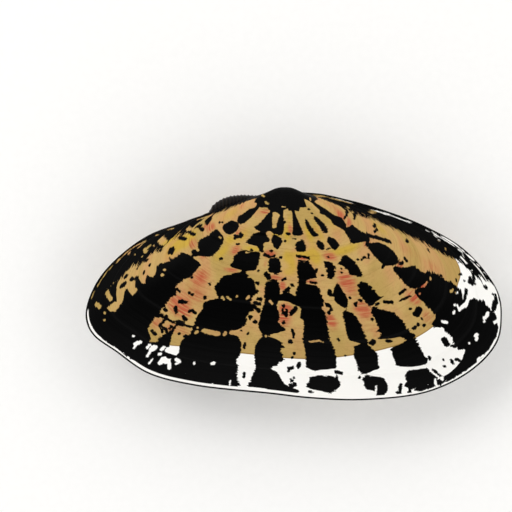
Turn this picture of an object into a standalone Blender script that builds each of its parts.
"""Clam shell: two valves and the ligament that joins them, closed, lying on the left valve.

Metres, +Z up. +X points to the front end of the shell and +Y to its hinge side. Every piece is modelled
from the beaks, with Z = 0 in the plane where the valves meet, and an empty carries all of them to the
natural origin: under the middle of the shell, on the surface that it lies on.
"""

import math

import bmesh
import bpy
import numpy as np
from mathutils import Matrix, Vector
from mathutils.bvhtree import BVHTree

MM = 0.001

# Size of the shell, and the gap left between pieces that meet
LENGTH = 64.0 * MM
GAP = 0.3 * MM

# The edge of a valve, in shell lengths from the beak: to the front end, to the hinge side.
# It starts under the beak, runs round the front end and the belly to the rear end, and comes back.
EDGE = [
    (0.008, -0.0055), (0.086, -0.0068), (0.158, -0.0225), (0.216, -0.0390), (0.330, -0.0813),
    (0.431, -0.1406), (0.494, -0.2125), (0.525, -0.2953), (0.514, -0.3594), (0.459, -0.4234),
    (0.353, -0.4813), (0.198, -0.5016), (-0.023, -0.4844), (-0.216, -0.4625), (-0.322, -0.4344),
    (-0.398, -0.3840), (-0.452, -0.3445), (-0.470, -0.3085), (-0.465, -0.2650), (-0.427, -0.1969),
    (-0.322, -0.1110), (-0.172, -0.0590), (-0.063, -0.0215),
]
POINTS_PER_SPAN = 24

# How a valve grows. At each age, from 0 at the beak to 1 at the full-grown edge, its edge is a smaller
# copy of the full one, turned up about the hinge line.
SWELL = 0.965                    # radians that the youngest edge is turned by
BEAK_TURN = 2.3                  # radians at the very tip, which curls the beak over
BEAK_SIZE = 0.06                 # age over which the curl dies out
BEAK_LEAN = Vector((0.45, 0.20, 0.55)) * MM    # tip moved forwards, outwards and off the other valve
HINGE_LEAN = math.radians(-2.0)  # the hinge line dips a little to the front
CROWN = 0.09                     # share by which the ends are flatter than the middle
CROWN_LINE = 0.05                # sideways lean of the fullest line, beak to belly
CROWN_SPREAD = 0.35              # sideways lean over which the fullness falls off

# Halts in growth, each one a low step down to the younger band outside it
HALTS = (0.295, 0.38, 0.485, 0.60, 0.74, 0.88)
HALT_STEP = 0.2 * MM
HALT_WIDTH = 0.008               # age across the step
HALT_FADE = (6.0 * MM, 18.0 * MM)  # distance of the edge from the beak over which the steps appear

# The wall of a valve and its hollow
WALL = 1.2 * MM
LIP = 1.0 * MM                   # flat width of the edge where the valves meet
HINGE_PLATE = 2.2 * MM           # more width there, under the beak
HINGE_REACH = (5.0 * MM, 13.0 * MM)    # distance from the beak over which it narrows again
HINGE_SIDE = (-9.6 * MM, -5.1 * MM)    # only where the edge lies above this height
HOLLOW_MIDDLE = Vector((2.6, -17.0, 0.0)) * MM
HOLLOW_RINGS = (1.0, 0.93, 0.84, 0.72, 0.57, 0.40, 0.22, 0.0)
HOLLOW_BEND = 0.8                # share of the way out where the wall starts to fill up to the lip

# Mesh of a valve
MERIDIANS = 60
BEAK_RINGS = 8
SHARP_ANGLE = math.radians(40.0)

# Two teeth of the right valve, in sockets of the left: turned from the line beak to belly
TOOTH_TURNS = (math.radians(-28.0), math.radians(24.0))
TOOTH_PLACE = 2.0 * MM           # middle of a tooth, from the beak
TOOTH_SIZE = Vector((0.7, 1.5, 1.7)) * MM      # across, along, high
TOOTH_TAPER = 0.6
TOOTH_ROOT = 0.7 * MM            # part of the height that is sunk in the hinge plate

# The ligament behind the beak, from its blunt rear end to its thin front end
LIGAMENT_REAR = Vector((-11.1, -3.70, 0.0)) * MM
LIGAMENT_FRONT = Vector((-3.1, -1.10, 0.0)) * MM
LIGAMENT_CREST = [              # share of its length, height over the edge of the valves in mm
    (0.0, 0.55), (0.06, 1.25), (0.14, 1.62), (0.25, 1.85), (0.38, 1.87), (0.50, 1.70), (0.63, 1.44),
    (0.76, 1.05), (0.90, 0.62), (1.0, 0.40),
]
LIGAMENT_SEAT = 0.7 * MM         # depth that it is let into the valves
LIGAMENT_WIDTH = 3.0 * MM
RIDGES = 15
RIDGE_HEIGHT = 0.12 * MM
LIGAMENT_SIDES = 12
GROOVE_RINGS = 12

# Depth of the flat that the left valve rests on
REST_FLAT = 0.25 * MM

SHELL_COLOUR = (0.45, 0.31, 0.13, 1.0)
SHELL_ROUGHNESS = 0.45
LIGAMENT_COLOUR = (0.05, 0.03, 0.015, 1.0)
LIGAMENT_ROUGHNESS = 0.5


def clear_scene():
    for thing in list(bpy.data.objects):
        bpy.data.objects.remove(thing, do_unlink=True)


def new_collection(name):
    collection = bpy.data.collections.new(name)
    bpy.context.scene.collection.children.link(collection)
    return collection


def material(name, colour, roughness):
    finish = bpy.data.materials.new(name)
    finish.use_nodes = True
    shader = finish.node_tree.nodes["Principled BSDF"]
    shader.inputs["Base Color"].default_value = colour
    shader.inputs["Roughness"].default_value = roughness
    shader.inputs["Metallic"].default_value = 0.0
    return finish


def smooth(value, low, high):
    """0 below low, 1 above high and an eased climb between."""
    share = min(1.0, max(0.0, (value - low) / (high - low)))
    return share * share * (3.0 - 2.0 * share)


def closed_curve(points, per_span):
    """Points on a closed centripetal Catmull-Rom curve through the given ones."""
    count = len(points)
    curve = []
    for i in range(count):
        a, b, c, d = (points[(i + step) % count] for step in (-1, 0, 1, 2))
        t0 = 0.0
        t1 = t0 + math.sqrt((b - a).length)
        t2 = t1 + math.sqrt((c - b).length)
        t3 = t2 + math.sqrt((d - c).length)
        for part in range(per_span):
            t = t1 + (t2 - t1) * part / per_span
            ab = a.lerp(b, (t - t0) / (t1 - t0))
            bc = b.lerp(c, (t - t1) / (t2 - t1))
            cd = c.lerp(d, (t - t2) / (t3 - t2))
            abc = ab.lerp(bc, (t - t0) / (t2 - t0))
            bcd = bc.lerp(cd, (t - t1) / (t3 - t1))
            curve.append(abc.lerp(bcd, (t - t1) / (t2 - t1)))
    return curve


def evenly(curve, count):
    """The given number of points at even steps along a closed curve, from its first point."""
    loop = np.array([tuple(point) for point in curve + curve[:1]])
    steps = np.linalg.norm(np.diff(loop, axis=0), axis=1)
    travelled = np.concatenate([[0.0], np.cumsum(steps)])
    wanted = np.linspace(0.0, travelled[-1], count, endpoint=False)
    columns = [np.interp(wanted, travelled, loop[:, axis]) for axis in range(3)]
    return [Vector(point) for point in zip(*columns)]


def edge_points(count):
    landmarks = [Vector((x, y, 0.0)) * LENGTH for x, y in EDGE]
    return evenly(closed_curve(landmarks, POINTS_PER_SPAN), count)


def turn(age):
    """Angle by which the edge of that age stands up from the full-grown one."""
    curl = 1.0 / (1.0 + (age / BEAK_SIZE) ** 2)
    curl_left = 1.0 / (1.0 + (1.0 / BEAK_SIZE) ** 2)
    return SWELL * (1.0 - age) + (BEAK_TURN - SWELL) * (curl - curl_left)


def fullness(edge_point):
    """Share of the full height: the shell is fullest along a line from the beak to the belly."""
    sideways = edge_point.x / edge_point.length - CROWN_LINE
    return 1.0 - CROWN * (1.0 - math.exp(-(sideways / CROWN_SPREAD) ** 2))


def grown(edge_point, age):
    """Where a point of the full-grown edge was at an earlier age, on the outside of the upper valve."""
    hinge_line = Vector((math.cos(HINGE_LEAN), math.sin(HINGE_LEAN), 0.0))
    turned = Matrix.Rotation(-turn(age), 3, hinge_line) @ edge_point
    turned.z *= fullness(edge_point)
    return turned * age + BEAK_LEAN * (1.0 - age) ** 4


def ring_ages():
    """Ages of the rings of vertices, from the beak to the edge, with a pair at each halt."""
    ages = [HALTS[0] * (ring / BEAK_RINGS) ** 1.5 for ring in range(BEAK_RINGS)]
    for start, end in zip(HALTS, HALTS[1:] + (1.0,)):
        ages += [start, start + HALT_WIDTH, (start + end) / 2.0]
    return ages + [1.0]


def step_depth(edge_point, age):
    """Depth below the smooth form: a step down past each halt, which the next band grows out of."""
    shown = smooth(edge_point.length, *HALT_FADE)
    for start, end in zip(HALTS, HALTS[1:] + (1.0,)):
        if start < age < end:
            return shown * HALT_STEP * ((end - age) / (end - start)) ** 1.5
    return 0.0


def lip_width(edge_point):
    """Flat width of the edge, wider along the hinge."""
    near_hinge = 1.0 - smooth(abs(edge_point.x), *HINGE_REACH)
    return LIP + HINGE_PLATE * near_hinge * smooth(edge_point.y, *HINGE_SIDE)


def valve_mesh(name):
    """The upper valve: a sphere whose one half becomes the outside and the other half the hollow."""
    edge = edge_points(MERIDIANS)
    ages = ring_ages()
    edge_ring = len(ages) - 1
    rings = edge_ring + len(HOLLOW_RINGS)
    bm = bmesh.new()
    bmesh.ops.create_uvsphere(bm, u_segments=MERIDIANS, v_segments=rings, radius=1.0)
    ring_of = {}
    edge_of = {}
    for vert in bm.verts:
        ring_of[vert] = round(math.acos(max(-1.0, min(1.0, vert.co.z))) / math.pi * rings)
        meridian = round(-math.atan2(vert.co.y, vert.co.x) / math.tau * MERIDIANS) % MERIDIANS
        edge_of[vert] = edge[meridian]

    outside = [vert for vert in bm.verts if ring_of[vert] <= edge_ring]
    for vert in outside:
        vert.co = grown(edge_of[vert], ages[ring_of[vert]])
    bm.normal_update()
    for vert in outside:
        vert.co -= vert.normal * step_depth(edge_of[vert], ages[ring_of[vert]])

    bm.verts.index_update()
    cap = [[vert.index for vert in face.verts] for face in bm.faces
           if all(ring_of[vert] <= edge_ring for vert in face.verts)]
    tree = BVHTree.FromPolygons([vert.co for vert in bm.verts], cap)

    def height(place):
        hit = tree.ray_cast(Vector((place.x, place.y, -MM)), Vector((0.0, 0.0, 1.0)))[0]
        return hit.z

    for vert in bm.verts:
        if ring_of[vert] <= edge_ring:
            continue
        out = HOLLOW_RINGS[ring_of[vert] - edge_ring - 1]
        inward = (HOLLOW_MIDDLE - edge_of[vert]).normalized()
        lip = edge_of[vert] + inward * lip_width(edge_of[vert])
        place = HOLLOW_MIDDLE.lerp(lip, out)
        filled = smooth(out, HOLLOW_BEND, 1.0)
        thickness = WALL + (height(lip) - WALL) * filled
        place.z = height(place) - thickness if out < 1.0 else 0.0
        vert.co = place

    bmesh.ops.translate(bm, verts=bm.verts, vec=Vector((0.0, 0.0, GAP / 2.0)))
    return finished_mesh(bm, name)


def finished_mesh(bm, name):
    bmesh.ops.recalc_face_normals(bm, faces=bm.faces)
    if bm.calc_volume(signed=True) < 0.0:
        bmesh.ops.reverse_faces(bm, faces=bm.faces)
    mesh = bpy.data.meshes.new(name)
    bm.to_mesh(mesh)
    bm.free()
    mesh.shade_smooth()
    mesh.set_sharp_from_angle(angle=SHARP_ANGLE)
    return mesh


def mirrored(mesh, name):
    """The other valve: the same form turned over in the plane where the valves meet."""
    bm = bmesh.new()
    bm.from_mesh(mesh)
    bmesh.ops.scale(bm, verts=bm.verts, vec=Vector((1.0, 1.0, -1.0)))
    return finished_mesh(bm, name)


def ligament_section(share, clearance):
    """Middle, half height and half width of the ligament at a share of its length."""
    stations, heights = zip(*LIGAMENT_CREST)
    crest = float(np.interp(share, stations, heights)) * MM
    tallest = max(heights) * MM
    half_height = (crest + LIGAMENT_SEAT) / 2.0
    half_width = LIGAMENT_WIDTH / 2.0 * math.sqrt((crest + LIGAMENT_SEAT) / (tallest + LIGAMENT_SEAT))
    line = LIGAMENT_REAR.lerp(LIGAMENT_FRONT, share)
    middle = line + Vector((0.0, (crest - LIGAMENT_SEAT) / 2.0, 0.0))
    return middle, half_height + clearance, half_width + clearance


def ligament_mesh(name, rings, clearance, ridge):
    """A sphere drawn out along the hinge: one pole at the rear end, the other at the front."""
    bm = bmesh.new()
    bmesh.ops.create_uvsphere(bm, u_segments=LIGAMENT_SIDES, v_segments=rings, radius=1.0)
    along = (LIGAMENT_FRONT - LIGAMENT_REAR).normalized()
    for vert in bm.verts:
        ring = round(math.acos(max(-1.0, min(1.0, vert.co.z))) / math.pi * rings)
        angle = math.atan2(vert.co.y, vert.co.x)
        share = min(1.0, max(0.0, (ring - 1) / (rings - 2)))
        middle, half_height, half_width = ligament_section(share, clearance)
        if ring in (0, rings):
            vert.co = middle + along * (clearance + ridge) * (1.0 if ring else -1.0)
            continue
        swell = ridge / 2.0 * (1.0 if ring % 2 else -1.0)
        across = math.sin(angle) * (half_height + swell)
        sideways = math.cos(angle) * (half_width + swell)
        vert.co = middle + Vector((0.0, across, sideways))
    return finished_mesh(bm, name)


def tooth_mesh(name, clearance):
    """The teeth, each a block that narrows downwards, from inside the plate to below the edge."""
    bm = bmesh.new()
    for angle in TOOTH_TURNS:
        block = bmesh.ops.create_cube(bm, size=1.0)["verts"]
        for vert in block:
            lower = vert.co.z < 0.0
            taper = TOOTH_TAPER if lower else 1.0
            vert.co.x *= TOOTH_SIZE.x * taper + 2.0 * clearance
            vert.co.y *= TOOTH_SIZE.y * taper + 2.0 * clearance
            bottom = TOOTH_ROOT - TOOTH_SIZE.z - clearance
            vert.co.z = bottom if lower else TOOTH_ROOT
            vert.co.y -= TOOTH_PLACE + TOOTH_SIZE.y / 2.0
        bmesh.ops.rotate(bm, verts=block, cent=Vector(), matrix=Matrix.Rotation(angle, 3, "Z"))
    return finished_mesh(bm, name)


def box_mesh(name, low, high):
    bm = bmesh.new()
    bmesh.ops.create_cube(bm, size=1.0)
    for vert in bm.verts:
        vert.co = Vector(high[axis] if vert.co[axis] > 0.0 else low[axis] for axis in range(3))
    return finished_mesh(bm, name)


def add(collection, name, mesh, parent, finish=None):
    thing = bpy.data.objects.new(name, mesh)
    collection.objects.link(thing)
    thing.parent = parent
    if finish:
        mesh.materials.append(finish)
    return thing


def add_cutter(collection, name, mesh, parent):
    cutter = add(collection, name, mesh, parent)
    cutter.hide_render = True
    cutter.display_type = "WIRE"
    return cutter


def cut(thing, cutter, operation="DIFFERENCE"):
    boolean = thing.modifiers.new(cutter.name, "BOOLEAN")
    boolean.object = cutter
    boolean.operation = operation
    boolean.solver = "EXACT"


def main():
    clear_scene()
    parts = new_collection("clam_shell")
    cutters = new_collection("cutters")
    shell = material("shell", SHELL_COLOUR, SHELL_ROUGHNESS)
    horn = material("horn", LIGAMENT_COLOUR, LIGAMENT_ROUGHNESS)

    upper = valve_mesh("right_valve")
    corners = np.array([tuple(vert.co) for vert in upper.vertices])
    low = corners.min(axis=0)
    high = corners.max(axis=0)
    rest_height = high[2] - REST_FLAT

    frame = bpy.data.objects.new("shell_frame", None)
    parts.objects.link(frame)
    frame.location = (-(low[0] + high[0]) / 2.0, -(low[1] + high[1]) / 2.0, rest_height)

    right = add(parts, "right_valve", upper, frame, shell)
    left = add(parts, "left_valve", mirrored(upper, "left_valve"), frame, shell)
    add(parts, "ligament", ligament_mesh("ligament", 2 * RIDGES + 2, 0.0, RIDGE_HEIGHT), frame, horn)

    groove_mesh = ligament_mesh("ligament_groove", GROOVE_RINGS, GAP, 0.0)
    groove = add_cutter(cutters, "ligament_groove", groove_mesh, frame)
    teeth = add_cutter(cutters, "teeth", tooth_mesh("teeth", 0.0), frame)
    sockets = add_cutter(cutters, "sockets", tooth_mesh("sockets", GAP), frame)
    below_rest = box_mesh("floor", (low[0], low[1], -2.0 * rest_height), (high[0], high[1], -rest_height))
    floor = add_cutter(cutters, "floor", below_rest, frame)
    cut(right, teeth, "UNION")
    cut(right, groove)
    cut(left, sockets)
    cut(left, groove)
    cut(left, floor)


main()
